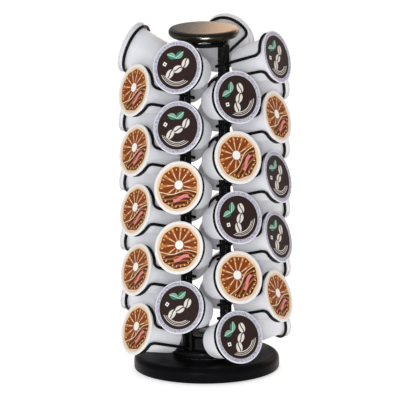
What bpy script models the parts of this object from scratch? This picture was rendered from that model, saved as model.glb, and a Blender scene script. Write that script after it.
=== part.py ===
"""Countertop carousel that stores single-serve coffee capsules in turning wire columns.

Four pairs of wire columns stand on a round hub and turn with it on a weighted base.
Each column holds five capsules in open wire loops, and each capsule lifts out of its loop
along its own tilted axis. All lengths are in metres, +Z is up and the floor is at Z = 0.
"""
import math

import bmesh
import bpy
from mathutils import Matrix, Vector

# Driving dimensions of the whole carousel
BASE_RADIUS = 0.0698
BASE_TOP = 0.0155
RACK_HEIGHT = 0.3190
KNOB_TOP_HEIGHT = BASE_TOP + RACK_HEIGHT
KNOB_RADIUS = 0.034
GAP = 0.0003
HALF = 0.5

# Hoop that ties the posts together, below the knob
HOOP_BELOW_KNOB_TOP = 0.0135
HOOP_HEIGHT = KNOB_TOP_HEIGHT - HOOP_BELOW_KNOB_TOP
HOOP_WIRE_DIAMETER = 0.0042

# Where the capsules stand: each pair of columns faces out from its own post pair
PAIR_NAMES = ("front_right", "back_right", "back_left", "front_left")
FIRST_PAIR_ANGLE = math.radians(-42.6)
LEVEL_HEIGHT = 0.0585
TOP_LID_BELOW_HOOP = 0.0102
TOP_LID_HEIGHT = HOOP_HEIGHT - TOP_LID_BELOW_HOOP
LOW_COLUMN_DROP = 0.030
LOWEST_LID_ABOVE_BASE = 0.0305
LOWEST_LID_HEIGHT = BASE_TOP + LOWEST_LID_ABOVE_BASE
LEVELS = 1 + int((TOP_LID_HEIGHT - LOW_COLUMN_DROP - LOWEST_LID_HEIGHT) / LEVEL_HEIGHT)
LID_OUT_DISTANCE = 0.0688
LID_SIDE_OFFSET = 0.0282
CAPSULE_TURN = math.radians(16)
CAPSULE_TILT = math.radians(17.5)

# One capsule, with its lid at its own Z = 0: a flat rim, a collar and a tapered cup
CUP_RADIUS = 0.0213
COLLAR_STEP = 0.0019
COLLAR_RADIUS = CUP_RADIUS + COLLAR_STEP
COLLAR_DEPTH = 0.0039
RIM_WIDTH = 0.0023
RIM_THICKNESS = 0.0011
LID_RADIUS = COLLAR_RADIUS + RIM_WIDTH
CUP_TAPER = 0.0050
CUP_BOTTOM_RADIUS = CUP_RADIUS - CUP_TAPER
CUP_HEIGHT = 0.0430
CAPSULE_SIDES = 10

# Wire of the columns
WIRE_DIAMETER = 0.0028
WIRE_SIDES = 5
POST_DIAMETER = 0.0040
POST_OUT_DISTANCE = 0.0266
POST_SIDE_OFFSET = 0.0040
POST_SIDES = 6
LOOP_CLEARANCE = 0.0004
LOOP_RADIUS = CUP_RADIUS + LOOP_CLEARANCE + WIRE_DIAMETER * HALF
LOOP_DROP = COLLAR_DEPTH + GAP + WIRE_DIAMETER * HALF
LOOP_STEPS = 10
LEG_SPREAD = 0.0080
LEG_SPREAD_AT_POST = 0.0066
LEG_BEND = 0.0030
LEG_PAST_POST = 0.0100
LEG_PAST_POST_AT_HUB = 0.0002
WELD_OFFSET = 0.0024

# Hub that carries the posts, turning on a ball race let into the base
HUB_FLANGE_RADIUS = 0.0326
HUB_FLANGE_HEIGHT = 0.0075
HUB_FLANGE_TOP = BASE_TOP + HUB_FLANGE_HEIGHT
HUB_BOSS_RADIUS = 0.0245
HUB_BOSS_HEIGHT = 0.0130
HUB_TOP = HUB_FLANGE_TOP + HUB_BOSS_HEIGHT
HUB_SHOULDER = 0.0032
HUB_LIFT = 0.0007
SOCKET_CLEARANCE = 0.00035
SOCKET_RADIUS = POST_DIAMETER * HALF + SOCKET_CLEARANCE
SOCKET_DEPTH = 0.0047
SOCKET_FLOOR = HUB_FLANGE_TOP - SOCKET_DEPTH
SOCKET_SIDES = 6

# Race, balls and spindle
HUB_OVERHANG = 0.0028
RACE_WIDTH = 0.0093
RACE_OUTER = HUB_FLANGE_RADIUS - HUB_OVERHANG
RACE_INNER = RACE_OUTER - RACE_WIDTH
RACE_THICKNESS = 0.0014
RECESS_CLEARANCE = 0.0006
BALL_RADIUS = 0.0014
BALL_COUNT = 6
BALL_SEGMENTS = 5
BALL_RINGS = 3
CAGE_THICKNESS = 0.0012
CAGE_WALL = 0.0030
SPINDLE_RADIUS = 0.0040
SPINDLE_HEAD_RADIUS = 0.0075
SPINDLE_HEAD_HEIGHT = 0.0022
SPINDLE_CLEARANCE = 0.0004
SPINDLE_BORE = SPINDLE_RADIUS + SPINDLE_CLEARANCE

# Base shell, its weight, cover and foot ring
BASE_TOP_ROUND = 0.0060
BASE_BOTTOM_ROUND = 0.0018
BASE_SKIRT_BOTTOM = 0.0012
BASE_WALL = 0.0050
BASE_ROOF = 0.0026
BASE_CORE_WALL = 0.0041
BASE_CORE_RADIUS = RACE_OUTER + RECESS_CLEARANCE + BASE_CORE_WALL
COVER_THICKNESS = 0.0014
FOOT_HEIGHT = 0.0013
FOOT_WIDTH = 0.0100
FOOT_INSET = 0.0015
SHELL_STEPS = 27

# Cross straps and knob above the columns
STRAP_WIDTH = 0.0090
STRAP_THICKNESS = 0.0018
KNOB_HEIGHT = 0.0085
KNOB_TOP_ROUND = 0.0030
KNOB_DISH = 0.0005
KNOB_NECK_RADIUS = 0.0120
STUD_RADIUS = 0.0025
STUD_LENGTH = 0.0075
STUD_SIDES = 8
HOOP_SIDES = 6
STRAP_COUNT = 2

# Steps, angles and small clearances shared by several pieces
TURN_STEPS = 24
SMALL_STEPS = 16
ROUND_STEPS = 3
SHOULDER_STEPS = 2
KNOB_BELLY_START = -20
CUP_SHARP_ANGLE = math.radians(35)
WIRE_SHARP_ANGLE = math.radians(62)
QUARTER = math.radians(90)
WEIGHT_CLEARANCE = 0.0009
MERGE = 0.00001

# Foil of each column's capsules from the top down: d is dark roast, c is caramel
LID_KINDS = {
    "front_right_high": "dcddc",
    "front_right_low": "dcdcd",
    "back_right_high": "cddcd",
    "back_right_low": "dcddc",
    "back_left_high": "dcdcd",
    "back_left_low": "ccdcd",
    "front_left_high": "ddccd",
    "front_left_low": "ccccc",
}

# Colour, roughness and metallic of every material
MATERIALS = {
    "black_enamel": ((0.012, 0.012, 0.014), 0.22, 0.0),
    "black_gloss_plastic": ((0.012, 0.012, 0.013), 0.12, 0.0),
    "base_black": ((0.016, 0.015, 0.020), 0.30, 0.0),
    "capsule_cup": ((0.62, 0.62, 0.66), 0.45, 0.0),
    "foil_dark": ((0.045, 0.018, 0.014), 0.35, 0.0),
    "foil_caramel": ((0.42, 0.17, 0.05), 0.35, 0.0),
    "zinc_steel": ((0.55, 0.56, 0.58), 0.35, 1.0),
    "cast_iron": ((0.08, 0.08, 0.08), 0.70, 1.0),
    "foot_rubber": ((0.02, 0.02, 0.02), 0.85, 0.0),
}


def clear_scene():
    for item in list(bpy.data.objects):
        bpy.data.objects.remove(item, do_unlink=True)


def new_collection(name):
    collection = bpy.data.collections.new(name)
    bpy.context.scene.collection.children.link(collection)
    return collection


def new_material(name):
    colour, roughness, metallic = MATERIALS[name]
    material = bpy.data.materials.new(name)
    material.use_nodes = True
    shader = material.node_tree.nodes["Principled BSDF"]
    shader.inputs["Base Color"].default_value = (*colour, 1.0)
    shader.inputs["Roughness"].default_value = roughness
    shader.inputs["Metallic"].default_value = metallic
    material.diffuse_color = (*colour, 1.0)
    return material


def link(item, collection, material=None):
    """Move an object to its collection and give it its one material."""
    for other in list(item.users_collection):
        other.objects.unlink(item)
    collection.objects.link(item)
    if material:
        item.data.materials.clear()
        item.data.materials.append(material)
    return item


def evaluated_mesh(item, name):
    """Mesh of an object with its modifiers or curve applied, its loose caps welded."""
    bpy.context.view_layer.update()
    graph = bpy.context.evaluated_depsgraph_get()
    mesh = bpy.data.meshes.new_from_object(item.evaluated_get(graph))
    mesh.name = name
    solid = bmesh.new()
    solid.from_mesh(mesh)
    bmesh.ops.remove_doubles(solid, verts=solid.verts, dist=MERGE)
    solid.to_mesh(mesh)
    solid.free()
    return mesh


def turned(name, outline, steps, collection, material):
    """Solid of revolution about Z; the outline runs down its outer side."""
    mesh = bpy.data.meshes.new(name)
    edges = [(i, i + 1) for i in range(len(outline) - 1)]
    if outline[0][0] > 0:
        edges.append((len(outline) - 1, 0))
    mesh.from_pydata([(radius, 0, height) for radius, height in outline], edges, [])
    item = bpy.data.objects.new(name, mesh)
    screw = item.modifiers.new("Turn", "SCREW")
    screw.axis = "Z"
    screw.steps = steps
    screw.render_steps = steps
    screw.use_merge_vertices = True
    screw.merge_threshold = MERGE
    screw.use_smooth_shade = True
    collection.objects.link(item)
    mesh.materials.append(material)
    return item


def ring(name, inner, outer, bottom, top, steps, collection, material):
    outline = [(inner, top), (outer, top), (outer, bottom), (inner, bottom)]
    return turned(name, outline, steps, collection, material)


def arc(radius, height, size, start, end, steps):
    """Points of a round corner centred on (radius, height), angles in degrees from +X."""
    points = []
    for i in range(steps + 1):
        angle = math.radians(start + (end - start) * i / steps)
        points.append((radius + size * math.cos(angle), height + size * math.sin(angle)))
    return points


def polyline(name, points, dimensions, collection):
    curve = bpy.data.curves.new(name, "CURVE")
    curve.dimensions = dimensions
    spline = curve.splines.new("POLY")
    spline.points.add(len(points) - 1)
    for control, point in zip(spline.points, points):
        control.co = (*point, 1.0)
    item = bpy.data.objects.new(name, curve)
    collection.objects.link(item)
    return item


def wire_section(collection):
    """Cross-section that every loop of wire is swept with."""
    corners = [-math.tau * i / WIRE_SIDES for i in range(WIRE_SIDES)]
    points = [(WIRE_DIAMETER * HALF * math.cos(a), WIRE_DIAMETER * HALF * math.sin(a), 0) for a in corners]
    section = polyline("wire_section", points, "2D", collection)
    section.data.splines[0].use_cyclic_u = True
    return section


def wire_object(name, points, section, collection):
    """Round wire along a polyline, as a curve with filled ends."""
    item = polyline(name, points, "3D", collection)
    item.data.bevel_mode = "OBJECT"
    item.data.bevel_object = section
    item.data.use_fill_caps = True
    return item


def as_mesh_object(item, collection):
    """Replace a curve object with a mesh object of the same shape and place."""
    mesh = evaluated_mesh(item, item.name)
    solid = bpy.data.objects.new(item.name + "_mesh", mesh)
    solid.matrix_world = item.matrix_world.copy()
    collection.objects.link(solid)
    bpy.data.objects.remove(item, do_unlink=True)
    return solid


def hide_cutter(item):
    item.hide_render = True
    item.display_type = "WIRE"


def combine(item, other, operation):
    boolean = item.modifiers.new(operation.title(), "BOOLEAN")
    boolean.operation = operation
    boolean.solver = "EXACT"
    boolean.object = other


def add_cylinder(name, radius, bottom, top, sides, place, collection):
    """Upright cylinder between two heights, with its origin left on the carousel axis."""
    bpy.ops.mesh.primitive_cylinder_add(vertices=sides, radius=radius, depth=top - bottom)
    item = bpy.context.object
    item.name = name
    item.data.transform(Matrix.Translation((*place, (top + bottom) * HALF)))
    link(item, collection)
    return item


def capsule_seat(side, height):
    """Frame of a capsule in its pair: +Z out along its axis, +Y up, +X across the pair."""
    turn = Matrix.Rotation(side * CAPSULE_TURN, 4, "Z")
    lean = Matrix.Rotation(QUARTER - CAPSULE_TILT, 4, "Y")
    upright = Matrix.Rotation(QUARTER, 4, "Z")
    return Matrix.Translation((LID_OUT_DISTANCE, side * LID_SIDE_OFFSET, height)) @ turn @ lean @ upright


def lid_height(side, level):
    drop = 0 if side > 0 else LOW_COLUMN_DROP
    return TOP_LID_HEIGHT - drop - level * LEVEL_HEIGHT


def capsule_mesh(name, cup, foil, workshop):
    """One capsule: foil lid on a flat rim, the collar that seats on the loop, and the cup."""
    outline = [
        (0, 0),
        (LID_RADIUS, 0),
        (LID_RADIUS, -RIM_THICKNESS),
        (COLLAR_RADIUS, -RIM_THICKNESS),
        (COLLAR_RADIUS, -COLLAR_DEPTH),
        (CUP_RADIUS, -COLLAR_DEPTH),
        (CUP_BOTTOM_RADIUS, -CUP_HEIGHT),
        (0, -CUP_HEIGHT),
    ]
    model = turned(name, outline, CAPSULE_SIDES, workshop, cup)
    mesh = evaluated_mesh(model, name)
    bpy.data.objects.remove(model, do_unlink=True)
    mesh.materials.append(foil)
    for face in mesh.polygons:
        if abs(face.center.z) < MERGE:
            face.material_index = 1
            face.use_smooth = False
    mesh.set_sharp_from_angle(angle=CUP_SHARP_ANGLE)
    return mesh


def leg_at_post(side, seat, spread):
    """Point, in the capsule's frame, where a loop's leg is welded to its post."""
    post = Vector((POST_OUT_DISTANCE, side * (WELD_OFFSET / math.cos(CAPSULE_TURN) - POST_SIDE_OFFSET), 0))
    away = post - seat.translation
    across = Vector((-math.sin(side * CAPSULE_TURN), math.cos(CAPSULE_TURN), 0)).dot(away)
    outward = Vector((math.cos(CAPSULE_TURN), math.sin(side * CAPSULE_TURN), 0)).dot(away)
    depth = (outward + spread * math.sin(CAPSULE_TILT)) / math.cos(CAPSULE_TILT)
    return Vector((across, spread, depth))


def loop_points(side, seat):
    """Open loop behind a capsule's rim, with two legs that run in past the post."""
    half_gap = math.asin((LEG_SPREAD + LEG_BEND * HALF) / LOOP_RADIUS)
    step = (math.tau - 2 * half_gap) / LOOP_STEPS
    radius = LOOP_RADIUS / math.cos(step * HALF)
    round_part = []
    for i in range(LOOP_STEPS + 1):
        angle = half_gap + step * i
        x = -side * radius * math.cos(angle)
        round_part.append(Vector((x, radius * math.sin(angle), -LOOP_DROP)))
    reach = math.sqrt(LOOP_RADIUS ** 2 - LEG_SPREAD ** 2)
    legs = []
    for up in (1, -1):
        bend = Vector((-side * reach, up * LEG_SPREAD, -LOOP_DROP - LEG_BEND))
        weld = leg_at_post(side, seat, up * LEG_SPREAD_AT_POST)
        beside_hub = (seat @ weld).z < HUB_TOP + LEG_SPREAD
        past = LEG_PAST_POST_AT_HUB if beside_hub else LEG_PAST_POST
        end = weld + (weld - bend).normalized() * past
        legs.append((end, bend))
    (upper_end, upper_bend), (lower_end, lower_bend) = legs
    return [upper_end, upper_bend, *round_part, lower_bend, lower_end]


def column_mesh(name, side, workshop):
    """Post with its five loops welded on, made once for each side of a pair."""
    place = (POST_OUT_DISTANCE, -side * POST_SIDE_OFFSET)
    foot = SOCKET_FLOOR + GAP
    post = add_cylinder(name, POST_DIAMETER * HALF, foot, HOOP_HEIGHT, POST_SIDES, place, workshop)
    section = wire_section(workshop)
    loops = []
    for level in range(LEVELS):
        seat = capsule_seat(side, lid_height(side, level))
        loop = wire_object(f"{name}_loop_{level}", loop_points(side, seat), section, workshop)
        loop.matrix_world = seat
        loop = as_mesh_object(loop, workshop)
        combine(post, loop, "UNION")
        loops.append(loop)
    mesh = evaluated_mesh(post, name)
    mesh.shade_smooth()
    mesh.set_sharp_from_angle(angle=WIRE_SHARP_ANGLE)
    for item in (post, section, *loops):
        bpy.data.objects.remove(item, do_unlink=True)
    return mesh


def add_columns_and_capsules(collection, workshop, black, cup, foils):
    capsules = {}
    for kind, foil in foils.items():
        capsules[kind] = capsule_mesh(f"capsule_{kind}", cup, foil, workshop)
    for side, rows in ((1, "high"), (-1, "low")):
        frame = column_mesh(f"wire_column_{rows}", side, workshop)
        frame.materials.append(black)
        for pair, pair_name in enumerate(PAIR_NAMES):
            turn = FIRST_PAIR_ANGLE + pair * QUARTER
            column = bpy.data.objects.new(f"wire_column_{pair_name}_{rows}", frame)
            column.rotation_euler.z = turn
            collection.objects.link(column)
            kinds = LID_KINDS[f"{pair_name}_{rows}"]
            for level in range(LEVELS):
                kind = kinds[level % len(kinds)]
                name = f"capsule_{pair_name}_{rows}_{level + 1}"
                capsule = bpy.data.objects.new(name, capsules[kind])
                seat = capsule_seat(side, lid_height(side, level))
                capsule.matrix_world = Matrix.Rotation(turn, 4, "Z") @ seat
                collection.objects.link(capsule)


def add_hub(collection, workshop, material):
    """Turned hub: a broad flange with a socket for each post, and a boss between them."""
    bottom = BASE_TOP + HUB_LIFT
    flange_corner = (HUB_FLANGE_RADIUS - HUB_SHOULDER, HUB_FLANGE_TOP - HUB_SHOULDER)
    boss_corner = (HUB_BOSS_RADIUS - HUB_SHOULDER, HUB_TOP - HUB_SHOULDER)
    outline = [(SPINDLE_BORE, HUB_TOP)]
    outline += arc(*boss_corner, HUB_SHOULDER, 90, 0, SHOULDER_STEPS)
    outline += [(HUB_BOSS_RADIUS, HUB_FLANGE_TOP)]
    outline += arc(*flange_corner, HUB_SHOULDER, 90, 0, SHOULDER_STEPS)
    outline += [(HUB_FLANGE_RADIUS, bottom), (SPINDLE_BORE, bottom)]
    hub = turned("hub", outline, TURN_STEPS, collection, material)
    for pair, pair_name in enumerate(PAIR_NAMES):
        turn = Matrix.Rotation(FIRST_PAIR_ANGLE + pair * QUARTER, 4, "Z")
        for side in (1, -1):
            name = f"socket_{pair_name}_{side}"
            place = (POST_OUT_DISTANCE, side * POST_SIDE_OFFSET)
            socket = add_cylinder(name, SOCKET_RADIUS, SOCKET_FLOOR, HUB_TOP, SOCKET_SIDES, place, workshop)
            socket.matrix_world = turn
            hide_cutter(socket)
            combine(hub, socket, "DIFFERENCE")


def add_bearing(collection, workshop, steel):
    """Ball race in the base's recess: two flat rings and a caged ring of balls."""
    upper_top = BASE_TOP + HUB_LIFT - GAP
    upper_bottom = upper_top - RACE_THICKNESS
    ball_centre = upper_bottom - GAP - BALL_RADIUS
    lower_top = ball_centre - BALL_RADIUS - GAP
    size = (RACE_INNER, RACE_OUTER)
    ring("race_upper", *size, upper_bottom, upper_top, SMALL_STEPS, collection, steel)
    ring("race_lower", *size, lower_top - RACE_THICKNESS, lower_top, SMALL_STEPS, collection, steel)
    middle = (RACE_INNER + RACE_OUTER) * HALF
    cage_size = (middle - CAGE_WALL, middle + CAGE_WALL)
    half_cage = CAGE_THICKNESS * HALF
    cage_heights = (ball_centre - half_cage, ball_centre + half_cage)
    cage = ring("ball_cage", *cage_size, *cage_heights, SMALL_STEPS, collection, steel)
    for i in range(BALL_COUNT):
        angle = math.tau * i / BALL_COUNT
        place = (middle * math.cos(angle), middle * math.sin(angle), ball_centre)
        bpy.ops.mesh.primitive_uv_sphere_add(
            segments=BALL_SEGMENTS, ring_count=BALL_RINGS, radius=BALL_RADIUS, location=place
        )
        ball = link(bpy.context.object, workshop)
        ball.name = f"ball_{i}"
        hide_cutter(ball)
        combine(cage, ball, "UNION")
    return lower_top - RACE_THICKNESS - GAP


def add_base(collection, race_floor, black, iron, rubber):
    """Round base shell with an iron ring inside, a cover below and a soft foot ring."""
    cavity_outer = BASE_RADIUS - BASE_WALL
    cavity_top = BASE_TOP - BASE_ROOF
    cover_bottom = FOOT_HEIGHT + GAP
    cover_top = cover_bottom + COVER_THICKNESS
    core_bottom = cover_top + GAP
    head_floor = core_bottom + SPINDLE_HEAD_HEIGHT + GAP
    recess = RACE_OUTER + RECESS_CLEARANCE
    outline = [(SPINDLE_BORE, race_floor), (recess, race_floor), (recess, BASE_TOP)]
    top_corner = (BASE_RADIUS - BASE_TOP_ROUND, BASE_TOP - BASE_TOP_ROUND)
    bottom_corner = (BASE_RADIUS - BASE_BOTTOM_ROUND, BASE_SKIRT_BOTTOM + BASE_BOTTOM_ROUND)
    outline += arc(*top_corner, BASE_TOP_ROUND, 90, 0, ROUND_STEPS)
    outline += arc(*bottom_corner, BASE_BOTTOM_ROUND, 0, -90, 1)
    outline += [
        (cavity_outer, BASE_SKIRT_BOTTOM),
        (cavity_outer, cavity_top),
        (BASE_CORE_RADIUS, cavity_top),
        (BASE_CORE_RADIUS, core_bottom),
        (SPINDLE_HEAD_RADIUS + GAP, core_bottom),
        (SPINDLE_HEAD_RADIUS + GAP, head_floor),
        (SPINDLE_BORE, head_floor),
    ]
    turned("base_disc", outline, SHELL_STEPS, collection, black)
    weight_size = (BASE_CORE_RADIUS + WEIGHT_CLEARANCE, cavity_outer - WEIGHT_CLEARANCE)
    ring("base_weight", *weight_size, core_bottom, cavity_top - GAP, SMALL_STEPS, collection, iron)
    cover_radius = cavity_outer - GAP
    cover = [(0, cover_top), (cover_radius, cover_top), (cover_radius, cover_bottom), (0, cover_bottom)]
    turned("base_cover", cover, SHELL_STEPS, collection, black)
    foot_outer = cavity_outer - FOOT_INSET
    foot_size = (foot_outer - FOOT_WIDTH, foot_outer)
    ring("foot_ring", *foot_size, 0, FOOT_HEIGHT, SMALL_STEPS, collection, rubber)
    return core_bottom + GAP


def add_spindle(collection, bottom, steel):
    """Riveted pin that holds the hub down on the base."""
    head_top = bottom + SPINDLE_HEAD_HEIGHT - GAP
    cap_bottom = HUB_TOP + GAP
    cap_top = cap_bottom + SPINDLE_HEAD_HEIGHT
    outline = [
        (0, cap_top),
        (SPINDLE_HEAD_RADIUS - SPINDLE_HEAD_HEIGHT * HALF, cap_top),
        (SPINDLE_HEAD_RADIUS, cap_bottom),
        (SPINDLE_RADIUS, cap_bottom),
        (SPINDLE_RADIUS, head_top),
        (SPINDLE_HEAD_RADIUS, head_top),
        (SPINDLE_HEAD_RADIUS, bottom),
        (0, bottom),
    ]
    turned("spindle", outline, SMALL_STEPS, collection, steel)


def add_hoop(collection, workshop, hoop_radius, black):
    """Hoop that ties the posts together, with crossed straps drilled for the knob's stud."""
    bpy.ops.mesh.primitive_torus_add(
        major_segments=TURN_STEPS, minor_segments=HOOP_SIDES, major_radius=hoop_radius,
        minor_radius=HOOP_WIRE_DIAMETER * HALF, location=(0, 0, HOOP_HEIGHT)
    )
    hoop = link(bpy.context.object, collection, black)
    hoop.name = "top_hoop"
    strap_bottom = HOOP_HEIGHT + GAP
    strap_top = strap_bottom + STRAP_THICKNESS
    for i in range(STRAP_COUNT):
        bpy.ops.mesh.primitive_cube_add(size=1, location=(0, 0, (strap_bottom + strap_top) * HALF))
        strap = link(bpy.context.object, workshop)
        strap.name = f"strap_{i}"
        strap.data.transform(Matrix.Diagonal((2 * hoop_radius, STRAP_WIDTH, STRAP_THICKNESS, 1)))
        strap.rotation_euler.z = FIRST_PAIR_ANGLE + i * QUARTER
        hide_cutter(strap)
        combine(hoop, strap, "UNION")
    drilled = (strap_bottom - HOOP_WIRE_DIAMETER, strap_top + HOOP_WIRE_DIAMETER)
    hole = add_cylinder("stud_hole", STUD_RADIUS + GAP, *drilled, STUD_SIDES, (0, 0), workshop)
    hide_cutter(hole)
    combine(hoop, hole, "DIFFERENCE")
    return strap_bottom, strap_top


def add_knob(collection, strap_bottom, strap_top, black, steel):
    """Disc knob with a rounded rim, and the stud that holds it to the straps."""
    neck_bottom = strap_top + GAP
    knob_bottom = KNOB_TOP_HEIGHT - KNOB_HEIGHT
    rim_height = KNOB_TOP_HEIGHT - KNOB_TOP_ROUND
    belly = rim_height - knob_bottom
    bore = STUD_RADIUS + GAP
    stud_top = strap_bottom + STUD_LENGTH
    outline = [(0, KNOB_TOP_HEIGHT - KNOB_DISH)]
    outline += arc(KNOB_RADIUS - KNOB_TOP_ROUND, rim_height, KNOB_TOP_ROUND, 90, 0, ROUND_STEPS)
    outline += arc(KNOB_RADIUS - belly, rim_height, belly, KNOB_BELLY_START, -90, ROUND_STEPS)
    outline += [
        (KNOB_NECK_RADIUS, knob_bottom),
        (KNOB_NECK_RADIUS, neck_bottom),
        (bore, neck_bottom),
        (bore, stud_top + GAP),
        (0, stud_top + GAP),
    ]
    turned("knob", outline, TURN_STEPS, collection, black)
    stud = [(0, stud_top), (STUD_RADIUS, stud_top), (STUD_RADIUS, strap_bottom), (0, strap_bottom)]
    turned("knob_stud", stud, STUD_SIDES, collection, steel)


def build():
    clear_scene()
    collection = new_collection("coffee_capsule_carousel")
    workshop = new_collection("cutters")
    black = new_material("black_enamel")
    base_black = new_material("base_black")
    steel = new_material("zinc_steel")
    foils = {"d": new_material("foil_dark"), "c": new_material("foil_caramel")}

    race_floor = add_bearing(collection, workshop, steel)
    iron = new_material("cast_iron")
    rubber = new_material("foot_rubber")
    spindle_bottom = add_base(collection, race_floor, base_black, iron, rubber)
    add_spindle(collection, spindle_bottom, steel)
    add_hub(collection, workshop, black)
    add_columns_and_capsules(collection, workshop, black, new_material("capsule_cup"), foils)

    wires = (POST_DIAMETER + HOOP_WIRE_DIAMETER) * HALF
    hoop_radius = math.hypot(POST_OUT_DISTANCE, POST_SIDE_OFFSET) - wires - GAP
    strap_heights = add_hoop(collection, workshop, hoop_radius, black)
    add_knob(collection, *strap_heights, new_material("black_gloss_plastic"), steel)


build()
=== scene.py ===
"""Looks of a coffee capsule carousel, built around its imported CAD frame.

A weighted black base carries a hub that turns on balls. Eight enamelled wire columns stand in the
hub in four pairs, and each holds five single-serve capsules in open loops, under a disc knob.
All lengths are in metres, +Z is up, and the photograph is taken from -Y.
"""
import math

import bmesh
import bpy
from mathutils import Matrix, Vector


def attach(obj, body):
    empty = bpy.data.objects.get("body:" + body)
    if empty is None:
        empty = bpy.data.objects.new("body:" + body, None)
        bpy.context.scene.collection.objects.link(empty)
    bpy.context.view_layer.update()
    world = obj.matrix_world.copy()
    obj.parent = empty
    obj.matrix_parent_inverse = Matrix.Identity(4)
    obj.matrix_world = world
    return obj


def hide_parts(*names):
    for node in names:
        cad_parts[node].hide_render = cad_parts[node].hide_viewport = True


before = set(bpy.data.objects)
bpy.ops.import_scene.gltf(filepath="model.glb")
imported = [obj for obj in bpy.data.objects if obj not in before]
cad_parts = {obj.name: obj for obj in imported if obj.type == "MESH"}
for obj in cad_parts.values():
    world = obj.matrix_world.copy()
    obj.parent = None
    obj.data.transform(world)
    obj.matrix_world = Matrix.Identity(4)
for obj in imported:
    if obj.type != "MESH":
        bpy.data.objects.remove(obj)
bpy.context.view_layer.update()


# Studio. The product stands on a glowing white table in a white tent. Large soft boxes far off
# light it flatly, and smaller lights near it show as highlights in its glossy pieces. The camera
# is far off with a long lens, a little above the knob, and leans by half a degree.
PHOTO_SIZE = 400
SENSOR_WIDTH = 36
FOCAL_PIXELS = 8349
AIM = Vector((0, 0, 0.170))
CAMERA_DISTANCE = 8.0
CAMERA_ELEVATION = math.radians(13)
CAMERA_LEAN = math.radians(0.5)
AIM_PIXEL = (205.3, 195.5)

camera = bpy.data.objects.new("camera", bpy.data.cameras.new("camera"))
bpy.context.scene.collection.objects.link(camera)
camera.data.lens = FOCAL_PIXELS / PHOTO_SIZE * SENSOR_WIDTH
camera.data.sensor_width = SENSOR_WIDTH
camera.data.shift_x = (PHOTO_SIZE / 2 - AIM_PIXEL[0]) / PHOTO_SIZE
camera.data.shift_y = (AIM_PIXEL[1] - PHOTO_SIZE / 2) / PHOTO_SIZE
camera.data.clip_end = 60
back = Vector((0, -math.cos(CAMERA_ELEVATION), math.sin(CAMERA_ELEVATION)))
camera.matrix_world = (
    Matrix.Translation(AIM + back * CAMERA_DISTANCE)
    @ Matrix.Rotation(math.radians(90) - CAMERA_ELEVATION, 4, "X")
    @ Matrix.Rotation(-CAMERA_LEAN, 4, "Z")
)
bpy.context.scene.camera = camera
bpy.context.scene.view_settings.view_transform = "Standard"


def soft_box(name, place, size, power, colour):
    """Rectangular soft light that faces the middle of the product, and its object."""
    lamp = bpy.data.lights.new(name, "AREA")
    lamp.shape = "RECTANGLE"
    lamp.size, lamp.size_y = size
    lamp.energy = power
    lamp.color = colour
    item = bpy.data.objects.new(name, lamp)
    item.location = place
    item.visible_camera = False
    item.rotation_euler = (AIM - Vector(place)).to_track_quat("-Z", "Y").to_euler()
    bpy.context.scene.collection.objects.link(item)
    return item


WARM_WHITE = (1.0, 0.99, 0.98)
COOL_WHITE = (0.98, 0.99, 1.0)
soft_box("front_light", (-2.1, -8.2, 2.2), (1.8, 1.6), 70, WARM_WHITE)
soft_box("left_light", (-2.3, -2.4, 0.5), (1.4, 1.2), 7, WARM_WHITE)
soft_box("right_light", (1.9, -8.3, 1.4), (1.8, 1.6), 30, COOL_WHITE)
lens_light = soft_box("lens_light", (-0.2, -8.6, 1.6), (0.8, 1.2), 145, (0.99, 0.99, 1.0))
lens_light.visible_glossy = False
sheen_light = soft_box("sheen_light", (-0.72, -2.6, 1.05), (0.7, 0.5), 16, (1.0, 1.0, 1.0))
sheen_light.visible_diffuse = False
soft_box("top_light", (-0.4, 0.2, 4.5), (4.0, 4.0), 11, (0.99, 0.99, 1.0))
soft_box("warm_card", (0.452, 0.9, 0.56), (1.0, 0.35), 3.0, (1.0, 0.63, 0.38))

world = bpy.data.worlds.new("white_tent")
world.use_nodes = True
world.node_tree.nodes["Background"].inputs["Color"].default_value = (*COOL_WHITE, 1.0)
world.node_tree.nodes["Background"].inputs["Strength"].default_value = 0.40
bpy.context.scene.world = world


class Value:
    """One socket of a material, which takes part in sums as a number does."""

    def __init__(self, finish, socket):
        self.finish = finish
        self.socket = socket

    def maths(self, operation, *others):
        inputs = dict(enumerate((self, *others)))
        return self.finish.node("ShaderNodeMath", {"operation": operation}, inputs)

    def __add__(self, other):
        return self.maths("ADD", other)

    def __sub__(self, other):
        return self.maths("SUBTRACT", other)

    def __rsub__(self, other):
        return self.maths("MULTIPLY_ADD", -1.0, other)

    def __mul__(self, other):
        return self.maths("MULTIPLY", other)

    def __truediv__(self, other):
        return self.maths("DIVIDE", other)

    def __abs__(self):
        return self.maths("ABSOLUTE")

    __radd__ = __add__

    def sine(self):
        return self.maths("SINE")

    def below(self, edge, blur):
        """1 where the value is under the edge and 0 above it, with a blurred step."""
        limits = {"From Min": edge - blur, "From Max": edge + blur, "To Min": 1.0, "To Max": 0.0}
        settings = {"interpolation_type": "SMOOTHSTEP"}
        return self.finish.node("ShaderNodeMapRange", settings, {"Value": self, **limits})


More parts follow.
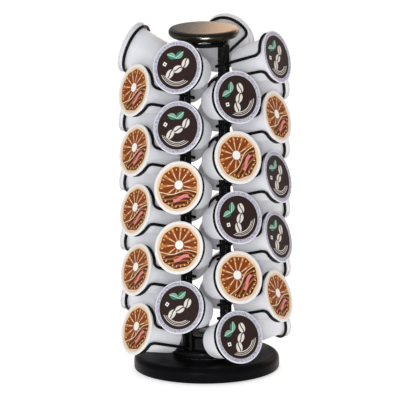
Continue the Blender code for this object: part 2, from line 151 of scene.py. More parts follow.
class Finish:
    """A material and the nodes that vary its surface about a plain colour and roughness."""

    def __init__(self, name, colour, roughness, **fixed):
        self.material = bpy.data.materials.new(name)
        self.material.use_nodes = True
        self.tree = self.material.node_tree
        self.shader = self.tree.nodes["Principled BSDF"]
        self.shader.inputs["Base Color"].default_value = (*colour, 1.0)
        self.shader.inputs["Roughness"].default_value = roughness
        for socket, value in fixed.items():
            self.shader.inputs[socket.replace("_", " ")].default_value = value

    def node(self, kind, settings=None, inputs=None, output=0):
        """Any node: its settings first, then the values or links of its sockets."""
        made = self.tree.nodes.new(kind)
        for key, value in (settings or {}).items():
            setattr(made, key, value)
        for key, value in (inputs or {}).items():
            self.feed(made.inputs[key], value)
        return Value(self, made.outputs[output])

    def feed(self, socket, value):
        """Link of a Value to a socket, or a constant set on it."""
        if isinstance(value, Value):
            self.tree.links.new(value.socket, socket)
        elif socket.type == "RGBA":
            socket.default_value = (*value, 1.0)
        else:
            socket.default_value = value

    def place(self):
        """Coordinates of the piece itself, in metres."""
        return self.node("ShaderNodeTexCoord", output="Object")

    def noise(self, size, detail=3.0):
        """Grain whose lumps are about size across."""
        inputs = {"Vector": self.place(), "Scale": 1 / size, "Detail": detail}
        return self.node("ShaderNodeTexNoise", None, inputs)

    def blend(self, mask, first, second):
        """Colour that goes from first to second with the mask."""
        inputs = {0: mask, 6: first, 7: second}
        return self.node("ShaderNodeMix", {"data_type": "RGBA"}, inputs, output=2)

    def colour(self, value):
        self.feed(self.shader.inputs["Base Color"], value)

    def roughness(self, value):
        self.feed(self.shader.inputs["Roughness"], value)

    def relief(self, height, depth):
        """Bump whose full range is depth metres."""
        inputs = {"Height": height, "Distance": depth, "Strength": 1.0}
        self.feed(self.shader.inputs["Normal"], self.node("ShaderNodeBump", None, inputs))


TABLE_HALF_SIZE = 14
table = bpy.data.objects.new("table", bpy.data.meshes.new("table"))
table_corners = [
    (x * TABLE_HALF_SIZE, y * TABLE_HALF_SIZE, 0) for x, y in ((-1, -1), (1, -1), (1, 1), (-1, 1))
]
table.data.from_pydata(table_corners, [], [(0, 1, 2, 3)])
bpy.context.scene.collection.objects.link(table)
paper = Finish("white_table", (0.93, 0.93, 0.93), 0.75, Emission_Strength=0.6)
paper.shader.inputs["Emission Color"].default_value = (1.0, 1.0, 1.0, 1.0)
paper_grain = paper.noise(0.004)
paper.colour(paper.blend(paper_grain, (0.955, 0.955, 0.96), (0.965, 0.965, 0.965)))
table.data.materials.append(paper.material)


# Base. A shell of black ABS is moulded face down, with a matt spark-eroded grain, a rounded edge
# and a round recess for the ball race. An iron ring inside keeps the loaded rack from tipping.
BASE_RADIUS = 0.0698
BASE_TOP = 0.0155
BASE_SKIRT = 0.0012
BASE_INNER = 0.0648
CORE_RADIUS = 0.0345
CORE_BOTTOM = 0.0033
POCKET_TOP = 0.0129
RACE_RECESS = 0.0304
RACE_FLOOR = 0.0094
SPINDLE_BORE = 0.0044
COUNTERBORE = 0.0078
COUNTERBORE_TOP = 0.0058


def filleted(corners, steps):
    """Profile through corners of (radius, height, fillet), each rounded by its own fillet."""
    points = []
    for i, (radius, height, fillet) in enumerate(corners):
        here = Vector((radius, height))
        if not fillet:
            points.append(here)
            continue
        before = (Vector(corners[i - 1][:2]) - here).normalized()
        after = (Vector(corners[(i + 1) % len(corners)][:2]) - here).normalized()
        half = before.angle(after) / 2
        centre = here + (before + after).normalized() * fillet / math.sin(half)
        start = here + before * fillet / math.tan(half) - centre
        end = here + after * fillet / math.tan(half) - centre
        points += [centre + start.slerp(end, k / steps) * start.length for k in range(steps + 1)]
    return points


def turned(name, profile, segments, *finishes):
    """Piece turned about Z; its profile runs down the outer side."""
    shape = bmesh.new()
    rings = []
    for radius, height in profile:
        count = segments if radius > 1e-6 else 1
        angles = [math.tau * i / segments for i in range(count)]
        rings.append([
            shape.verts.new((radius * math.cos(a), radius * math.sin(a), height)) for a in angles
        ])
    if len(rings[0]) > 1:
        rings.append(rings[0])
    for upper, lower in zip(rings, rings[1:]):
        for i in range(segments):
            j = (i + 1) % segments
            places = ((upper, i), (lower, i), (lower, j), (upper, j))
            corners = [ring[k % len(ring)] for ring, k in places]
            shape.faces.new(list(dict.fromkeys(corners)))
    return made_piece(name, shape, *finishes)


SHARP_EDGE = math.radians(40)


def made_piece(name, shape, *finishes):
    """Object from a finished bmesh, smooth but for its sharp edges."""
    mesh = bpy.data.meshes.new(name)
    shape.to_mesh(mesh)
    shape.free()
    mesh.shade_smooth()
    mesh.set_sharp_from_angle(angle=SHARP_EDGE)
    for finish in finishes:
        mesh.materials.append(finish.material)
    piece = bpy.data.objects.new(name, mesh)
    bpy.context.scene.collection.objects.link(piece)
    return piece


satin_black = Finish("satin_black_abs", (0.006, 0.006, 0.007), 0.3, Specular_IOR_Level=0.04)
haze = satin_black.noise(0.018, 4)
grain = satin_black.noise(0.0005, 2)
satin_black.colour(satin_black.blend(haze, (0.0020, 0.0020, 0.0028), (0.0045, 0.0043, 0.0058)))
satin_black.roughness(0.24 + haze * 0.12 + grain * 0.05)
satin_black.relief(grain, 0.00002)

base_shell = turned("base_shell", filleted([
    (SPINDLE_BORE, RACE_FLOOR, 0),
    (RACE_RECESS, RACE_FLOOR, 0.0004),
    (RACE_RECESS, BASE_TOP, 0.0005),
    (BASE_RADIUS, BASE_TOP, 0.0060),
    (BASE_RADIUS, BASE_SKIRT, 0.0018),
    (BASE_INNER, BASE_SKIRT, 0.0004),
    (BASE_INNER, POCKET_TOP, 0.0008),
    (CORE_RADIUS, POCKET_TOP, 0.0008),
    (CORE_RADIUS, CORE_BOTTOM, 0.0003),
    (COUNTERBORE, CORE_BOTTOM, 0),
    (COUNTERBORE, COUNTERBORE_TOP, 0),
    (SPINDLE_BORE, COUNTERBORE_TOP, 0),
], 6), 128, satin_black)
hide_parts("base_disc")
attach(base_shell, "base")

# The iron ring is a rough sand casting, seen only from below when the cover is off.
rough_iron = Finish("sand_cast_iron", (0.075, 0.072, 0.070), 0.7, Metallic=0.8)
sand = rough_iron.noise(0.0012, 5)
rust = rough_iron.noise(0.012)
rough_iron.colour(rough_iron.blend(rust, (0.05, 0.045, 0.042), (0.11, 0.10, 0.095)))
rough_iron.roughness(0.62 + sand * 0.2)
rough_iron.relief(sand, 0.0003)
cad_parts["base_weight"].data.materials[0] = rough_iron.material


# Underside. A thin black cover with turned grooves snaps into the shell. A ring of black
# foam rubber is glued under it, so that the carousel doesn't slide.
COVER_RADIUS = 0.0645
COVER_BOTTOM = 0.0016
COVER_TOP = 0.0030
COVER_GROOVES = (0.016, 0.024, 0.032, 0.040, 0.048)
GROOVE_MOUTH = 0.0010
GROOVE_FLOOR = 0.0006
GROOVE_DEPTH = 0.0004
FOOT_OUTER = 0.0633
FOOT_INNER = 0.0533
FOOT_TOP = 0.0013

cover_profile = [
    (0, COVER_TOP, 0),
    (COVER_RADIUS, COVER_TOP, 0),
    (COVER_RADIUS, COVER_BOTTOM, 0.0003),
]
for radius in reversed(COVER_GROOVES):
    cover_profile += [
        (radius + GROOVE_MOUTH, COVER_BOTTOM, 0.0002),
        (radius + GROOVE_FLOOR, COVER_BOTTOM + GROOVE_DEPTH, 0.0001),
        (radius - GROOVE_FLOOR, COVER_BOTTOM + GROOVE_DEPTH, 0.0001),
        (radius - GROOVE_MOUTH, COVER_BOTTOM, 0.0002),
    ]
cover_profile.append((0, COVER_BOTTOM, 0))
cover = turned("bottom_cover", filleted(cover_profile, 2), 96, satin_black)
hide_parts("base_cover")
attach(cover, "base")

foam = Finish("black_foam_rubber", (0.020, 0.020, 0.021), 0.85)
pores = foam.node("ShaderNodeTexVoronoi", None, {"Vector": foam.place(), "Scale": 1 / 0.0009})
foam.colour(foam.blend(pores, (0.014, 0.014, 0.014), (0.032, 0.032, 0.034)))
foam.roughness(0.78 + foam.noise(0.004) * 0.15)
foam.relief(pores, 0.00015)
foot = turned("foot_pad", filleted([
    (FOOT_INNER, FOOT_TOP, 0),
    (FOOT_OUTER, FOOT_TOP, 0),
    (FOOT_OUTER, 0, 0.0004),
    (FOOT_INNER, 0, 0.0004),
], 3), 96, foam)
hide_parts("foot_ring")
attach(foot, "base")


# Bearing. Two stamped and zinc-plated rings run on caged steel balls in the base's recess, and a
# riveted spindle with a domed head holds the hub down on them. The knob's stud has the same zinc.
SPINDLE_RADIUS = 0.0040
SPINDLE_HEAD_RADIUS = 0.0075
SPINDLE_TAIL_TOP = 0.0055
SPINDLE_TAIL_BOTTOM = 0.0036
HUB_TOP = 0.0360

zinc = Finish("zinc_plated_steel", (0.56, 0.57, 0.59), 0.3, Metallic=1.0)
spangle_inputs = {"Vector": zinc.place(), "Scale": 1 / 0.0016}
spangle = zinc.node("ShaderNodeTexVoronoi", None, spangle_inputs, output="Color")
tone = zinc.node("ShaderNodeRGBToBW", None, {"Color": spangle})
zinc.colour(zinc.blend(tone, (0.50, 0.51, 0.54), (0.62, 0.62, 0.63)))
zinc.roughness(0.24 + tone * 0.14)
zinc.relief(zinc.noise(0.0004), 0.00001)
for node in ("race_lower", "race_upper", "ball_cage", "knob_stud"):
    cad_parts[node].data.materials[0] = zinc.material

spindle = turned("spindle_rivet", filleted([
    (0, HUB_TOP + 0.0025, 0),
    (0.0046, HUB_TOP + 0.0024, 0.0030),
    (SPINDLE_HEAD_RADIUS, HUB_TOP + 0.0009, 0.0006),
    (SPINDLE_HEAD_RADIUS, HUB_TOP + 0.0003, 0.0002),
    (SPINDLE_RADIUS, HUB_TOP + 0.0003, 0),
    (SPINDLE_RADIUS, SPINDLE_TAIL_TOP, 0),
    (SPINDLE_HEAD_RADIUS, SPINDLE_TAIL_TOP, 0.0002),
    (SPINDLE_HEAD_RADIUS, SPINDLE_TAIL_BOTTOM, 0.0004),
    (0, SPINDLE_TAIL_BOTTOM, 0),
], 4), 40, zinc)
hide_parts("spindle")
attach(spindle, "base")


# Hub. One black enamelled casting with a broad flange, which takes the feet of the eight posts in
# blind sockets, and a rounded boss between them. It is glossier than the base.
HUB_BOTTOM = 0.0162
FLANGE_RADIUS = 0.0326
FLANGE_TOP = 0.0230
BOSS_RADIUS = 0.0245
POST_OUT = 0.0266
POST_SIDE = 0.0040
FIRST_PAIR = math.radians(-42.6)
QUARTER = math.radians(90)
PAIRS = ("front_right", "back_right", "back_left", "front_left")

enamel = Finish("black_enamel", (0.005, 0.005, 0.006), 0.2, Specular_IOR_Level=0.12)
thickness = enamel.noise(0.007, 3)
orange_peel = enamel.noise(0.0011, 2)
enamel.colour(enamel.blend(thickness, (0.003, 0.003, 0.0035), (0.007, 0.0065, 0.0075)))
enamel.roughness(0.15 + thickness * 0.14)
enamel.relief(orange_peel, 0.00002)

hub_profile = filleted([
    (SPINDLE_BORE, HUB_TOP, 0.0003),
    (BOSS_RADIUS, HUB_TOP, 0.0032),
    (BOSS_RADIUS, FLANGE_TOP, 0.0009),
    (FLANGE_RADIUS, FLANGE_TOP, 0.0032),
    (FLANGE_RADIUS, HUB_BOTTOM, 0.0006),
    (SPINDLE_BORE, HUB_BOTTOM, 0),
], 5)
hub = turned("hub_moulding", hub_profile, 96, enamel)
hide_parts("hub")
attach(hub, "carousel")


# Wire columns. Each is a 4 mm post with five loops of 3 mm wire, bent on a former, resistance
# welded to the post and dip coated in black enamel. The cut ends of the legs stand past the post.
POST_RADIUS = 0.0020
POST_FOOT = 0.0187
POST_TOP = 0.3208
POST_STEPS = 12
POST_SIDES = 14
WIRE_RADIUS = 0.0015
LID_OUT = 0.0688
LID_SIDE = 0.0282
LEVELS = 5
LEVEL_HEIGHT = 0.0585
TOP_LIDS = {"high": 0.3108, "low": 0.2808}
SIDES = {"high": 1, "low": -1}
CAPSULE_TURN = math.radians(16)
CAPSULE_TILT = math.radians(17.5)
LOOP_RADIUS = 0.0236
LOOP_DROP = 0.0056
LOOP_STEPS = 34
LOOP_END_ANGLE = 0.14
LEG_SPREAD = 0.0080
LEG_SPREAD_AT_POST = 0.0066
LEG_BEND = 0.0030
LEG_BEND_START = 0.0034
LEG_BEND_STEPS = 7
LEG_PAST_POST = 0.0100
LEG_PAST_POST_AT_HUB = 0.0002
WELD_OFFSET = 0.0024
WELD_BEAD_OFFSET = WELD_OFFSET * 0.62
WELD_BEAD = (0.0017, 0.0019, 0.0027)
WIRE_CHAMFER = 0.28
WIRE_SIDES = 10


def bezier(start, first, second, end, steps):
    """Points of a cubic curve, both ends counted."""
    points = []
    for t in (i / steps for i in range(steps + 1)):
        s = 1 - t
        near = start * s ** 3 + first * 3 * s * s * t
        points.append(near + second * 3 * s * t * t + end * t ** 3)
    return points


def add_wire(shape, points, radius, sides, closed=False):
    """Round wire along points, with chamfered ends unless it is closed."""
    last = len(points) - 1
    rings = []
    across = (points[1] - points[0]).orthogonal().normalized()
    for i, point in enumerate(points):
        before = points[i - 1] if i or closed else point
        after = points[(i + 1) % len(points)] if i < last or closed else point
        along = (after - before).normalized()
        across = (across - along * across.dot(along)).normalized()
        other = along.cross(across)
        chamfer = along * radius * WIRE_CHAMFER
        sections = [(point, 1.0)]
        if not closed and i == 0:
            sections = [(point, 1 - WIRE_CHAMFER), (point + chamfer, 1.0)]
        elif not closed and i == last:
            sections = [(point - chamfer, 1.0), (point, 1 - WIRE_CHAMFER)]
        for middle, size in sections:
            spokes = [
                across * math.cos(a) + other * math.sin(a)
                for a in (math.tau * k / sides for k in range(sides))
            ]
            rings.append([shape.verts.new(middle + spoke * radius * size) for spoke in spokes])
    pairs = list(zip(rings, rings[1:]))
    if closed:
        pairs.append((rings[-1], rings[0]))
    else:
        shape.faces.new(list(reversed(rings[0])))
        shape.faces.new(rings[-1])
    for near, far in pairs:
        for k in range(sides):
            j = (k + 1) % sides
            shape.faces.new((near[k], near[j], far[j], far[k]))


def seat_of(rows, level):
    """Frame of a lid in its pair's frame: +Z out of the lid and +Y up it."""
    side = SIDES[rows]
    return (
        Matrix.Translation((LID_OUT, side * LID_SIDE, TOP_LIDS[rows] - LEVEL_HEIGHT * level))
        @ Matrix.Rotation(side * CAPSULE_TURN, 4, "Z")
        @ Matrix.Rotation(QUARTER - CAPSULE_TILT, 4, "Y")
        @ Matrix.Rotation(QUARTER, 4, "Z")
    )


def weld_of(side, seat, spread):
    """Point of a leg beside its post, in the lid's frame."""
    post = Vector((POST_OUT, side * (WELD_OFFSET / math.cos(CAPSULE_TURN) - POST_SIDE), 0))
    away = post - seat.translation
    across = Vector((-math.sin(side * CAPSULE_TURN), math.cos(CAPSULE_TURN), 0)).dot(away)
    outward = Vector((math.cos(CAPSULE_TURN), math.sin(side * CAPSULE_TURN), 0)).dot(away)
    depth = (outward + spread * math.sin(CAPSULE_TILT)) / math.cos(CAPSULE_TILT)
    return Vector((across, spread, depth))


def column_shape(rows):
    """Post and its five loops in the frame of their pair."""
    side = SIDES[rows]
    shape = bmesh.new()
    foot = Vector((POST_OUT, -side * POST_SIDE, POST_FOOT))
    post_step = (POST_TOP - POST_FOOT) / POST_STEPS
    post = [foot + Vector((0, 0, post_step * i)) for i in range(POST_STEPS + 1)]
    add_wire(shape, post, POST_RADIUS, POST_SIDES)
    gap = math.asin((LEG_SPREAD + LEG_BEND / 2) / LOOP_RADIUS)
    reach = math.sqrt(LOOP_RADIUS ** 2 - LEG_SPREAD ** 2)
    start = gap + LOOP_END_ANGLE
    turns = [start + (math.tau - 2 * start) * i / LOOP_STEPS for i in range(LOOP_STEPS + 1)]
    ring = [Vector((-side * math.cos(a), math.sin(a), 0)) * LOOP_RADIUS for a in turns]
    ring = [point + Vector((0, 0, -LOOP_DROP)) for point in ring]
    for level in range(LEVELS):
        seat = seat_of(rows, level)
        path = []
        for up, joins in ((1, ring[0]), (-1, ring[-1])):
            bend = Vector((-side * reach, up * LEG_SPREAD, -LOOP_DROP - LEG_BEND))
            corner = Vector((-side * math.cos(gap), up * math.sin(gap), 0)) * LOOP_RADIUS
            corner.z = -LOOP_DROP
            weld = weld_of(side, seat, up * LEG_SPREAD_AT_POST)
            along = (weld - bend).normalized()
            beside_hub = (seat @ weld).z < HUB_TOP + LEG_SPREAD
            past = LEG_PAST_POST_AT_HUB if beside_hub else LEG_PAST_POST
            leg = [weld + along * past, weld, weld.lerp(bend, 0.5)]
            leg += bezier(bend + along * LEG_BEND_START, bend, corner, joins, LEG_BEND_STEPS)
            path.append(leg)
            post_side = Vector((0, side * WELD_BEAD_OFFSET, 0))
            bead = Matrix.Translation((seat @ weld) - post_side) @ seat.to_3x3().to_4x4()
            bead = bead @ Matrix.Diagonal((*WELD_BEAD, 1))
            bmesh.ops.create_icosphere(shape, subdivisions=2, radius=1, matrix=bead)
        points = [seat @ point for point in path[0][:-1] + ring + path[1][-2::-1]]
        add_wire(shape, points, WIRE_RADIUS, WIRE_SIDES)
    return shape


for rows in SIDES:
    made = made_piece(f"wire_column_shape_{rows}", column_shape(rows), enamel)
    for pair, pair_name in enumerate(PAIRS):
        name = f"wire_column_{pair_name}_{rows}"
        column = bpy.data.objects.new(f"enamelled_{name}", made.data)
        column.rotation_euler.z = FIRST_PAIR + pair * QUARTER
        bpy.context.scene.collection.objects.link(column)
        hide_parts(name)
        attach(column, "carousel")
    bpy.data.objects.remove(made)


# Top hoop. A 4.2 mm wire ring is welded inside the tops of the posts, and two flat straps, crossed
# under the knob and drilled for its stud, are welded across the ring.
HOOP_HEIGHT = 0.3210
HOOP_RADIUS = 0.0225
HOOP_WIRE_RADIUS = 0.0021
STRAP_HALF_WIDTH = 0.0045
STRAP_LOW = 0.3213
STRAP_HIGH = 0.3231
STUD_HOLE = 0.0028
HOOP_STEPS = 64

hoop_shape = bmesh.new()
hoop_turns = [math.tau * i / HOOP_STEPS for i in range(HOOP_STEPS)]
hoop_path = [
    Vector((math.cos(a) * HOOP_RADIUS, math.sin(a) * HOOP_RADIUS, HOOP_HEIGHT)) for a in hoop_turns
]
add_wire(hoop_shape, hoop_path, HOOP_WIRE_RADIUS, POST_SIDES, closed=True)
for i in range(len(PAIRS)):
    turn = Matrix.Rotation(FIRST_PAIR + i * QUARTER, 4, "Z")
    arm = []
    for height in (STRAP_LOW, STRAP_HIGH):
        outline = [(HOOP_RADIUS, STRAP_HALF_WIDTH), (STRAP_HALF_WIDTH, STRAP_HALF_WIDTH)]
        outline += [
            (STUD_HOLE * math.cos(a), STUD_HOLE * math.sin(a))
            for a in (math.radians(45 - 18 * k) for k in range(6))
        ]
        outline += [(STRAP_HALF_WIDTH, -STRAP_HALF_WIDTH), (HOOP_RADIUS, -STRAP_HALF_WIDTH)]
        arm.append([hoop_shape.verts.new(turn @ Vector((x, y, height))) for x, y in outline])
    lower, upper = arm
    hoop_shape.faces.new(upper[::-1])
    hoop_shape.faces.new(lower)
    for k in range(len(lower)):
        j = (k + 1) % len(lower)
        hoop_shape.faces.new((lower[j], lower[k], upper[k], upper[j]))
bmesh.ops.recalc_face_normals(hoop_shape, faces=hoop_shape.faces)
hoop = made_piece("hoop_and_straps", hoop_shape, enamel)
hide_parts("top_hoop")
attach(hoop, "carousel")


# Knob. A glossy black phenolic disc with a rounded rim and an almost flat top, pressed on a
# threaded stud. Its top takes a warm tan sheen from the warm card behind the rack.
KNOB_RADIUS = 0.0340
KNOB_TOP = 0.3345
KNOB_CROWN = 0.00015
KNOB_EDGE_DROP = 0.0008
KNOB_UNDERSIDE = 0.3260
KNOB_NECK_BOTTOM = 0.3234
KNOB_NECK_RADIUS = 0.0120
STUD_BORE = 0.0028
STUD_BORE_TOP = 0.3291

phenolic = Finish("gloss_black_phenolic", (0.006, 0.005, 0.004), 0.1, Specular_IOR_Level=0.28)
phenolic.shader.inputs["Specular Tint"].default_value = (1.0, 0.80, 0.62, 1.0)
depth_of_black = phenolic.noise(0.02, 3)
knob_scuffs = phenolic.noise(0.0016, 4)
phenolic.colour(phenolic.blend(depth_of_black, (0.004, 0.0035, 0.003), (0.009, 0.008, 0.006)))
phenolic.roughness(0.22 + knob_scuffs * 0.008)
phenolic.relief(knob_scuffs, 0.0000002)
knob = turned("knob_disc", filleted([
    (0, KNOB_TOP, 0),
    (KNOB_RADIUS - 0.0050, KNOB_TOP - KNOB_CROWN, 0.0060),
    (KNOB_RADIUS, KNOB_TOP - KNOB_EDGE_DROP, 0.0032),
    (KNOB_RADIUS, KNOB_UNDERSIDE, 0.0044),
    (KNOB_NECK_RADIUS, KNOB_UNDERSIDE, 0.0008),
    (KNOB_NECK_RADIUS, KNOB_NECK_BOTTOM, 0.0003),
    (STUD_BORE, KNOB_NECK_BOTTOM, 0),
    (STUD_BORE, STUD_BORE_TOP, 0),
    (0, STUD_BORE_TOP, 0),
], 7), 128, phenolic)
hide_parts("knob")
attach(knob, "carousel")

# A low and wide white card in front gives the rim its one bright window of light. It stands under
# the knob's top, which would mirror it to a camera behind the rack.
rim_card = soft_box("rim_card", (-0.13, -1.20, 0.19), (0.9, 0.25), 175, (0.82, 0.94, 1.0))
rim_card.visible_diffuse = False
rim_card.light_linking.receiver_collection = bpy.data.collections.new("lit_by_rim_card")
rim_card.light_linking.receiver_collection.objects.link(knob)


# Capsules. A white polypropylene cup is thermoformed with a collar under its rim, filled and
# sealed with a printed foil lid. The lids' prints are a bean and leaf on dark brown, and a sunrise
# over coffee hills in caramel.
LID_RADIUS = 0.0255
RIM_THICKNESS = 0.0011
COLLAR_RADIUS = 0.0232
COLLAR_DEPTH = 0.0039
CUP_RADIUS = 0.0213
CUP_BOTTOM_RADIUS = 0.0163
CUP_HEIGHT = 0.0430
CUP_FOOT_WIDTH = 0.0030
CUP_FOOT_DEPTH = 0.0016
FOIL_SINK = 0.00025
CAPSULE_SEGMENTS = 48
SEAL_INNER = 0.0214
SEAL_TICKS = 110
LID_SPIN = {"high": math.radians(18), "low": math.radians(50)}
# Each column's lids from the top down: d is dark brown and c is caramel.
LID_KINDS = {
    "front_right_high": "dcddc",
    "front_right_low": "dcdcd",
    "back_right_high": "cddcd",
    "back_right_low": "dcddc",
    "back_left_high": "dcdcd",
    "back_left_low": "ccdcd",
    "front_left_high": "ddccd",
    "front_left_low": "ccccc",
}

cup_plastic = Finish(
    "white_polypropylene", (0.75, 0.77, 0.80), 0.4, Subsurface_Weight=0.25, Specular_IOR_Level=0.3
)
cup_plastic.shader.inputs["Diffuse Roughness"].default_value = 1.0
cup_plastic.shader.inputs["Subsurface Radius"].default_value = (1.0, 0.95, 0.9)
cup_plastic.shader.inputs["Subsurface Scale"].default_value = 0.03
cloud = cup_plastic.noise(0.012, 3)
pull = cup_plastic.noise(0.0010, 2)
cup_plastic.colour(cup_plastic.blend(cloud, (0.86, 0.87, 0.91), (0.90, 0.905, 0.93)))
cup_plastic.roughness(0.34 + cloud * 0.14)
cup_plastic.relief(pull, 0.00004)

capsule_profile = filleted([
    (0, -FOIL_SINK, 0),
    (LID_RADIUS - 0.0036, -FOIL_SINK, 0.0010),
    (LID_RADIUS - 0.0030, 0, 0.0006),
    (LID_RADIUS, 0, 0.0004),
    (LID_RADIUS, -RIM_THICKNESS, 0.0004),
    (COLLAR_RADIUS, -RIM_THICKNESS, 0.0002),
    (COLLAR_RADIUS - 0.0002, -COLLAR_DEPTH, 0.0006),
    (CUP_RADIUS, -COLLAR_DEPTH, 0.0003),
    (CUP_BOTTOM_RADIUS, -CUP_HEIGHT, 0.0022),
    (CUP_BOTTOM_RADIUS - CUP_FOOT_WIDTH, -CUP_HEIGHT, 0.0006),
    (CUP_BOTTOM_RADIUS - CUP_FOOT_WIDTH - 0.0010, -CUP_HEIGHT + CUP_FOOT_DEPTH, 0.0006),
    (0, -CUP_HEIGHT + CUP_FOOT_DEPTH, 0),
], 4)


def spot(foil, centre=(0.0, 0.0), size=(1.0, 1.0), turn=0.0):
    """Distance from a motif's middle, and its two axes, in units of the motif's half sizes."""
    settings = {"vector_type": "TEXTURE"}
    inputs = {
        "Vector": foil.place(),
        "Location": (*centre, 0.0),
        "Rotation": (0.0, 0.0, math.radians(turn)),
        "Scale": (*size, 1.0),
    }
    axes = foil.node("ShaderNodeMapping", settings, inputs)
    in_lid = {0: axes, 1: (1.0, 1.0, 0.0)}
    flat = foil.node("ShaderNodeVectorMath", {"operation": "MULTIPLY"}, in_lid)
    far = foil.node("ShaderNodeVectorMath", {"operation": "LENGTH"}, {0: flat}, output="Value")
    along = foil.node("ShaderNodeSeparateXYZ", None, {"Vector": axes}, output="X")
    across = foil.node("ShaderNodeSeparateXYZ", None, {"Vector": axes}, output="Y")
    return far, along, across


def lid_relief(foil, radius, bearing):
    """Wrinkles of the foil and ticks of the sealing jaw in its rim, and the mask of the ticks."""
    ticks = (bearing * SEAL_TICKS).sine() * 0.5 + 0.5
    rim = 1 - radius.below(SEAL_INNER, 0.0003)
    wrinkles = foil.noise(0.0045, 4)
    foil.roughness(0.24 + wrinkles * 0.2 + rim * 0.1)
    foil.relief(wrinkles * 0.6 + ticks * rim * 0.25, 0.00012)
    return ticks * rim


def dark_lid():
    """Coffee beans, a leafy twig and thin arcs in cream and green on dark brown foil."""
    foil = Finish("foil_dark_print", (0.04, 0.03, 0.025), 0.35, Specular_IOR_Level=0.09)
    cream, green, pale_green = (0.80, 0.75, 0.69), (0.055, 0.24, 0.15), (0.24, 0.47, 0.36)
    beans = (((-0.0086, -0.0046), 40), ((0.0002, -0.0018), 4), ((0.0092, 0.0022), 48))
    leaves = (((-0.0036, 0.0118), 150), ((0.0044, 0.0110), 26))
    arcs = ((0.0174, 0.00032), (0.0158, 0.00022), (0.0142, 0.00040))
    radius, east, north = spot(foil)
    ticks = lid_relief(foil, radius, north.maths("ARCTAN2", east))
    speckle = foil.noise(0.0011, 2)
    colour = foil.blend(speckle, (0.021, 0.011, 0.010), (0.043, 0.025, 0.022))
    for centre, turn in beans:
        bean, along, across = spot(foil, centre, (0.0049, 0.0034), turn)
        crease = abs(across - (along * 2.6).sine() * 0.22)
        colour = foil.blend(bean.below(1.0, 0.05) * (1 - crease.below(0.17, 0.06)), colour, cream)
    for centre, turn in leaves:
        leaf, along, across = spot(foil, centre, (0.0053, 0.0053), turn)
        width = (1 - along * along) * 0.58
        blade = abs(across).maths("LESS_THAN", width) * leaf.below(1.0, 0.05)
        colour = foil.blend(blade, colour, green)
        colour = foil.blend(blade * abs(across).below(0.07, 0.03), colour, (0.66, 0.82, 0.74))
        colour = foil.blend(blade * across.below(-0.16, 0.06), colour, pale_green)
    under_beans = (north + east * 0.45).below(-0.0112, 0.0003)
    for reach, width in arcs:
        colour = foil.blend(abs(radius - reach).below(width, 0.00008) * under_beans, colour, cream)
    middle, along, across = spot(foil, (-0.0120, 0.0058), (0.0024, 0.0024), 45)
    square = abs(along).maths("MAXIMUM", abs(across)).below(0.72, 0.05)
    colour = foil.blend(square * (1 - middle.below(0.34, 0.05)), colour, (0.94, 0.94, 0.94))
    mottle = 1 - (foil.noise(0.0015, 2) + ticks * 0.12).below(0.56, 0.14)
    rim_colour = foil.blend(mottle, (0.62, 0.605, 0.70), (0.31, 0.30, 0.39))
    # The rim's outer edge, and a thin line at its inner edge, are painted whitish as a highlight.
    # Between them the rim is mottled lilac grey.
    between_painted_edge_highlights = abs(radius - 0.0227).below(0.0016, 0.0004)
    rim_colour = foil.blend(between_painted_edge_highlights, (0.80, 0.80, 0.85), rim_colour)
    # Two small dark spots on the rim are painted shade of dents, which the foil's shape doesn't
    # have.
    for side in (1, -1):
        painted_dent_shade = spot(foil, (side * 0.0222, side * 0.0052), (0.0004, 0.0004))[0]
        rim_colour = foil.blend(painted_dent_shade.below(1.0, 0.2), rim_colour, (0.10, 0.10, 0.16))
    foil.colour(foil.blend(radius.below(0.0210, 0.00025), rim_colour, colour))
    return foil


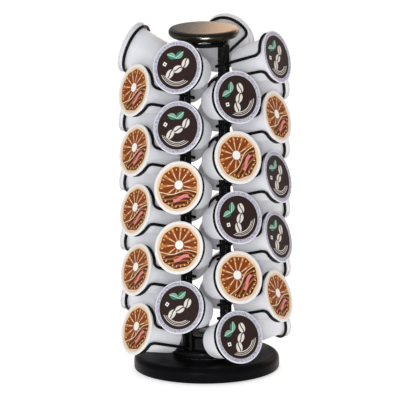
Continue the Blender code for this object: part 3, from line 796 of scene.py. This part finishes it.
def caramel_lid():
    """Low sun with broad rays over ploughed hills, a pink ribbon and a wavy edge, on white foil."""
    foil = Finish("foil_caramel_print", (0.8, 0.6, 0.4), 0.35, Specular_IOR_Level=0.08)
    umber, cream, pink = (0.10, 0.024, 0.008), (0.88, 0.74, 0.56), (0.78, 0.25, 0.25)
    radius, east, north = spot(foil)
    bearing = north.maths("ARCTAN2", east)
    lid_relief(foil, radius, bearing)
    sun, sun_east, sun_north = spot(foil, (0.0010, 0.0026))
    rays = (sun_north.maths("ARCTAN2", sun_east) * 11).sine()
    tint = foil.noise(0.004, 3)
    colour = foil.blend(tint, (0.215, 0.043, 0.009), (0.28, 0.066, 0.014))
    colour = foil.blend(1 - rays.below(0.62, 0.10), colour, (0.55, 0.22, 0.06))
    thin_rays = (1 - rays.below(0.93, 0.04)) * sun.below(0.0122, 0.0002)
    colour = foil.blend(thin_rays, colour, cream)
    colour = foil.blend(sun.below(0.0051, 0.0002), colour, (0.36, 0.12, 0.03))
    colour = foil.blend(sun.below(0.0043, 0.0002), colour, (0.96, 0.93, 0.88))
    ridge = north - (east * 210).sine() * 0.0016 + east * 0.16
    ploughed = (ridge * 1500 + abs(east + 0.004) * 420).sine()
    hill = foil.blend(1 - ploughed.below(0.45, 0.2), umber, (0.40, 0.14, 0.035))
    colour = foil.blend(ridge.below(-0.0042, 0.0002), colour, hill)
    colour = foil.blend(abs(ridge + 0.0044).below(0.0004, 0.0001), colour, cream)
    ribbon = abs(north + 0.0102 - (east * 330).sine() * 0.0011).below(0.0016, 0.0001)
    ribbon = ribbon * abs(east - 0.0010).below(0.0082, 0.0002)
    colour = foil.blend(ribbon, colour, pink)
    dashes = 1 - (bearing * 26).sine().below(0.80, 0.08)
    dashes = abs(radius - 0.0177).below(0.0010, 0.0001) * dashes
    colour = foil.blend(dashes, colour, (0.84, 0.58, 0.34))
    glow = foil.blend((radius - 0.0196) / 0.0032, (0.80, 0.52, 0.28), (0.86, 0.74, 0.60))
    picture = (radius - (bearing * 9).sine() * 0.0005).below(0.0199, 0.0002)
    colour = foil.blend(picture, glow, colour)
    foil.colour(foil.blend(radius.below(0.0229, 0.0003), (0.90, 0.885, 0.87), colour))
    return foil


lid_prints = (("d", dark_lid(), "capsule_dark"), ("c", caramel_lid(), "capsule_caramel"))
for kind, foil, slot_name in lid_prints:
    model = turned(f"capsule_shape_{kind}", capsule_profile, CAPSULE_SEGMENTS, cup_plastic, foil)
    for face in model.data.polygons:
        if face.center.z > -RIM_THICKNESS * 0.75:
            face.material_index = 1
    for pair, pair_name in enumerate(PAIRS):
        for rows in SIDES:
            for level, wanted in enumerate(LID_KINDS[f"{pair_name}_{rows}"]):
                if wanted != kind:
                    continue
                name = f"capsule_{pair_name}_{rows}_{level + 1}"
                capsule = bpy.data.objects.new(f"filled_{name}", model.data)
                spin = Matrix.Rotation(LID_SPIN[rows], 4, "Z")
                turn = Matrix.Rotation(FIRST_PAIR + pair * QUARTER, 4, "Z")
                capsule.matrix_world = turn @ seat_of(rows, level) @ spin
                bpy.context.scene.collection.objects.link(capsule)
                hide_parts(name)
                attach(capsule, name)
    bpy.data.objects.remove(model)
